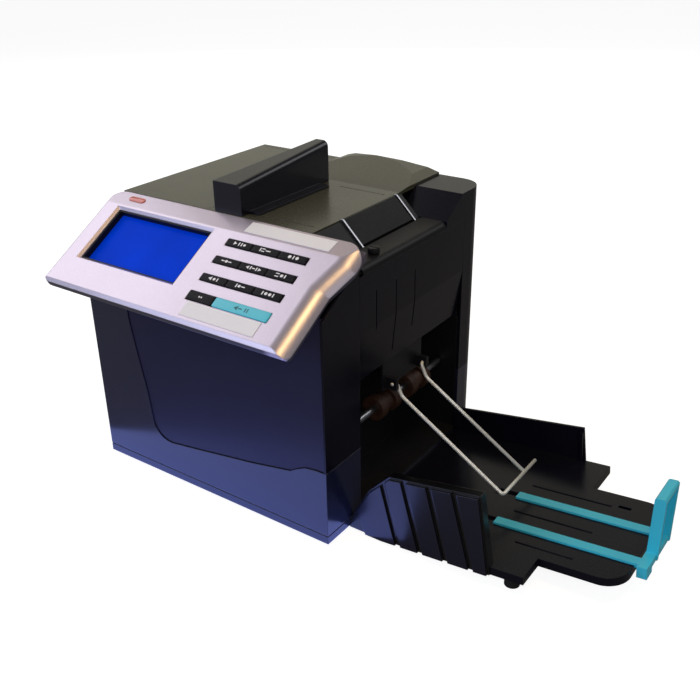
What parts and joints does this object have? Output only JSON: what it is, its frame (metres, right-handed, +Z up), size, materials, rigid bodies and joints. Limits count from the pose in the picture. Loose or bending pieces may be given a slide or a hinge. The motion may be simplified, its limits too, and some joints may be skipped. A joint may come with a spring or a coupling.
{
  "type": "desktop banknote counting machine",
  "caption": "Desktop sheet counter: sloping console with display and keys, top hopper with sliding guide, side exit with wire bail and tilted receiving tray.",
  "frame": {"origin": "centre of the whole footprint, tray included, on the ground", "axes": "+X along the console face towards the receiving tray, +Y from the console to the rear, +Z up"},
  "size_m": [0.5604, 0.3282, 0.3189],
  "materials": {
    "navy_gloss": "high gloss, dark navy",
    "pan_navy": "high gloss blue-black",
    "chute_grey": "satin dark green grey",
    "black_gloss": "high gloss black",
    "olive_gloss": "gloss, dark olive grey",
    "silver_paint": "satin silver paint with a faint lilac tone",
    "console_grey": "fine matt texture",
    "black_matte": "fine matt texture",
    "display_blue": "back-lit blue display behind clear sheet",
    "circuit_green": "solder-masked circuit board",
    "label_white": "blank printed film label",
    "badge_red": "domed resin badge, blank",
    "key_black": "satin moulded key",
    "key_teal": "satin moulded key",
    "teal_plastic": "translucent-looking teal moulding",
    "wire_steel": "polished wire",
    "steel": "turned or sheared steel",
    "roller_rubber": "ground rubber",
    "exit_roller_brown": "brown ground rubber",
    "brass": "turned",
    "belt_rubber": "moulded rubber",
    "motor_case": "zinc plated",
    "aluminium_case": "pressed sheet",
    "chrome_trim": "polished",
    "foot_rubber": "soft moulded rubber",
    "red_rocker": "moulded rocker"
  },
  "bodies": {
    "housing": {"base_pan": "pan_navy", "front_panel": "navy_gloss", "left_cover": "black_gloss", "rear_cover": "black_gloss", "right_front_cheek": "black_gloss", "exit_side_panel": "black_gloss", "rear_corner_cover": "black_gloss", "top_cover": "olive_gloss", "hopper_plate": "olive_gloss", "feed_chute": "chute_grey", "chute_trims": "chrome_trim", "throat_surround": "black_matte", "feed_ledge": "black_matte", "console_underplate": "console_grey", "console_bezel": "silver_paint", "display_liner": "black_matte", "display_window": "display_blue", "display_module": "circuit_green", "keypad_board": "circuit_green", "upper_label_plate": "label_white", "lower_label_plate": "label_white", "oval_badge": "badge_red", "stacker_well": "black_matte", "bail_bracket": "black_matte", "tray_base": "black_gloss", "tray_front_wall": "navy_gloss", "tray_rear_wall": "black_gloss", "tray_feet": "foot_rubber", "side_frames": "steel", "motor": "motor_case", "drive_belts": "belt_rubber", "sensor_bar": "black_matte", "power_supply": "aluminium_case", "main_board": "circuit_green", "mains_inlet": "black_matte", "switch_body": "black_matte", "body_feet": "foot_rubber", "cover_screws": "steel"},
    "hopper_guide": {"hopper_guide": "black_gloss"},
    "thickness_screw": {"thickness_screw": "black_matte"},
    "wire_bail": {"wire_bail": "wire_steel"},
    "note_stop": {"note_stop": "teal_plastic"},
    "feed_drive": {"feed_shaft": "steel", "feed_rollers": "roller_rubber"},
    "exit_drive": {"exit_shaft": "steel", "exit_rollers": "exit_roller_brown"},
    "motor_rotor": {"motor_pulley": "brass"},
    "rocker_switch": {"rocker_switch": "red_rocker"},
    "key_r1_left": {"key_r1_left": "key_black"},
    "key_r1_mid": {"key_r1_mid": "key_black"},
    "key_r1_right": {"key_r1_right": "key_black"},
    "key_r2_left": {"key_r2_left": "key_black"},
    "key_r2_mid": {"key_r2_mid": "key_black"},
    "key_r2_right": {"key_r2_right": "key_black"},
    "key_r3_left": {"key_r3_left": "key_black"},
    "key_r3_mid": {"key_r3_mid": "key_black"},
    "key_r3_right": {"key_r3_right": "key_black"},
    "key_r4_small": {"key_r4_small": "key_black"},
    "key_r4_wide": {"key_r4_wide": "key_teal"}
  },
  "joints": [
    {"name": "key_r1_left_press", "type": "slide", "parent": "housing", "child": "key_r1_left", "axis": [0, 0.5105, -0.8599], "range_m": [0, 0.0008], "stiffness_N_per_m": 400, "springref_m": -0.0002},
    {"name": "key_r1_mid_press", "type": "slide", "parent": "housing", "child": "key_r1_mid", "axis": [0, 0.5105, -0.8599], "range_m": [0, 0.0008], "stiffness_N_per_m": 400, "springref_m": -0.0002},
    {"name": "key_r1_right_press", "type": "slide", "parent": "housing", "child": "key_r1_right", "axis": [0, 0.5105, -0.8599], "range_m": [0, 0.0008], "stiffness_N_per_m": 400, "springref_m": -0.0002},
    {"name": "key_r2_left_press", "type": "slide", "parent": "housing", "child": "key_r2_left", "axis": [0, 0.5105, -0.8599], "range_m": [0, 0.0008], "stiffness_N_per_m": 400, "springref_m": -0.0002},
    {"name": "key_r2_mid_press", "type": "slide", "parent": "housing", "child": "key_r2_mid", "axis": [0, 0.5105, -0.8599], "range_m": [0, 0.0008], "stiffness_N_per_m": 400, "springref_m": -0.0002},
    {"name": "key_r2_right_press", "type": "slide", "parent": "housing", "child": "key_r2_right", "axis": [0, 0.5105, -0.8599], "range_m": [0, 0.0008], "stiffness_N_per_m": 400, "springref_m": -0.0002},
    {"name": "key_r3_left_press", "type": "slide", "parent": "housing", "child": "key_r3_left", "axis": [0, 0.5105, -0.8599], "range_m": [0, 0.0008], "stiffness_N_per_m": 400, "springref_m": -0.0002},
    {"name": "key_r3_mid_press", "type": "slide", "parent": "housing", "child": "key_r3_mid", "axis": [0, 0.5105, -0.8599], "range_m": [0, 0.0008], "stiffness_N_per_m": 400, "springref_m": -0.0002},
    {"name": "key_r3_right_press", "type": "slide", "parent": "housing", "child": "key_r3_right", "axis": [0, 0.5105, -0.8599], "range_m": [0, 0.0008], "stiffness_N_per_m": 400, "springref_m": -0.0002},
    {"name": "key_r4_small_press", "type": "slide", "parent": "housing", "child": "key_r4_small", "axis": [0, 0.5105, -0.8599], "range_m": [0, 0.0008], "stiffness_N_per_m": 400, "springref_m": -0.0002},
    {"name": "key_r4_wide_press", "type": "slide", "parent": "housing", "child": "key_r4_wide", "axis": [0, 0.5105, -0.8599], "range_m": [0, 0.0008], "stiffness_N_per_m": 400, "springref_m": -0.0002},
    {"name": "guide_slide", "type": "slide", "parent": "housing", "child": "hopper_guide", "axis": [1, 0, 0], "range_m": [-0.024, 0.008]},
    {"name": "thickness_turn", "type": "hinge", "parent": "housing", "child": "thickness_screw", "pos_m": [0.00407, -0.02446, 0.257], "axis": [0, 0, 1], "range_deg": [-180, 180]},
    {"name": "bail_swing", "type": "hinge", "parent": "housing", "child": "wire_bail", "pos_m": [0.01757, 0.01604, 0.124], "axis": [0, -1, 0], "range_deg": [-8, 100]},
    {"name": "stop_slide", "type": "slide", "parent": "housing", "child": "note_stop", "axis": [0.9954, 0, 0.0958], "range_m": [0, 0.04]},
    {"name": "feed_spin", "type": "hinge", "parent": "housing", "child": "feed_drive", "pos_m": [-0.01193, 0.02154, 0.231], "axis": [0, 1, 0], "continuous": true},
    {"name": "exit_spin", "type": "hinge", "parent": "housing", "child": "exit_drive", "pos_m": [-0.00793, 0.02154, 0.086], "axis": [0, 1, 0], "continuous": true},
    {"name": "motor_spin", "type": "hinge", "parent": "housing", "child": "motor_rotor", "pos_m": [-0.09393, 0.12154, 0.12], "axis": [0, 1, 0], "continuous": true},
    {"name": "switch_rock", "type": "hinge", "parent": "housing", "child": "rocker_switch", "pos_m": [-0.18893, 0.15654, 0.105], "axis": [1, 0, 0], "range_deg": [0, 10]}
  ],
  "couplings": [
    {"joint": "exit_spin", "follows": "motor_spin", "ratio": 0.625},
    {"joint": "feed_spin", "follows": "motor_spin", "ratio": 0.625}
  ]
}
